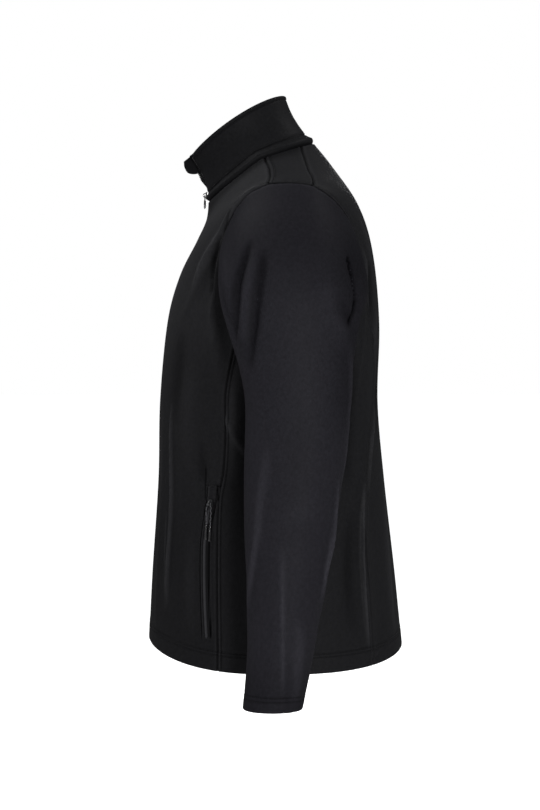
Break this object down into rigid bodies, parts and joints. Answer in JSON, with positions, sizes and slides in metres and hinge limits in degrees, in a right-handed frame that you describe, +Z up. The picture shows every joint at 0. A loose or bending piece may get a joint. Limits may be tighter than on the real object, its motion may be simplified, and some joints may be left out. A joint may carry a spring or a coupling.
{
  "type": "softshell jacket",
  "caption": "Zip-front softshell jacket in its worn, hollow form, with a stand collar, set-in sleeves, shaped side panels and zipped hand pockets with cord pullers.",
  "frame": {"origin": "middle plane of the body, level with the shoulders, where the wearer's shoulders carry the jacket", "axes": "+Z up, +X to the wearer's left, -Y to the wearer's front"},
  "size_m": [0.6762, 0.3549, 0.7851],
  "materials": {
    "cloth": "black bonded stretch weave, soft sheen",
    "sleeve_cloth": "black bonded stretch weave, slightly violet",
    "zip_tape": "black woven zip tape with moulded chain",
    "zip_metal": "black enamel on cast metal",
    "cord": "dark braided cord",
    "cord_tip": "dark shiny moulded cord ends"
  },
  "bodies": {
    "root": {"front_L": "cloth", "front_R": "cloth", "side_L": "cloth", "side_R": "cloth", "back": "cloth", "shoulder_L": "cloth", "shoulder_R": "cloth", "sleeve_L": "sleeve_cloth", "sleeve_R": "sleeve_cloth", "collar": "cloth", "chin_guard": "cloth", "zip_tape_L": "zip_tape", "zip_tape_R": "zip_tape", "zip_slider": "zip_metal", "pocket_zip_L": "zip_tape", "pocket_zip_R": "zip_tape", "pocket_slider_L": "zip_metal", "pocket_slider_R": "zip_metal", "pocket_cord_L": "cord", "pocket_cord_R": "cord", "pocket_tip_front_L": "cord_tip", "pocket_tip_front_R": "cord_tip", "pocket_tip_back_L": "cord_tip", "pocket_tip_back_R": "cord_tip"},
    "pull_tab": {"zip_pull_tab": "zip_metal"}
  },
  "joints": [
    {"name": "pull_tab_swing", "type": "hinge", "parent": "root", "child": "pull_tab", "pos_m": [0, -0.11118, -0.0384], "axis": [-1, 0, 0], "range_deg": [-2, 150]}
  ]
}
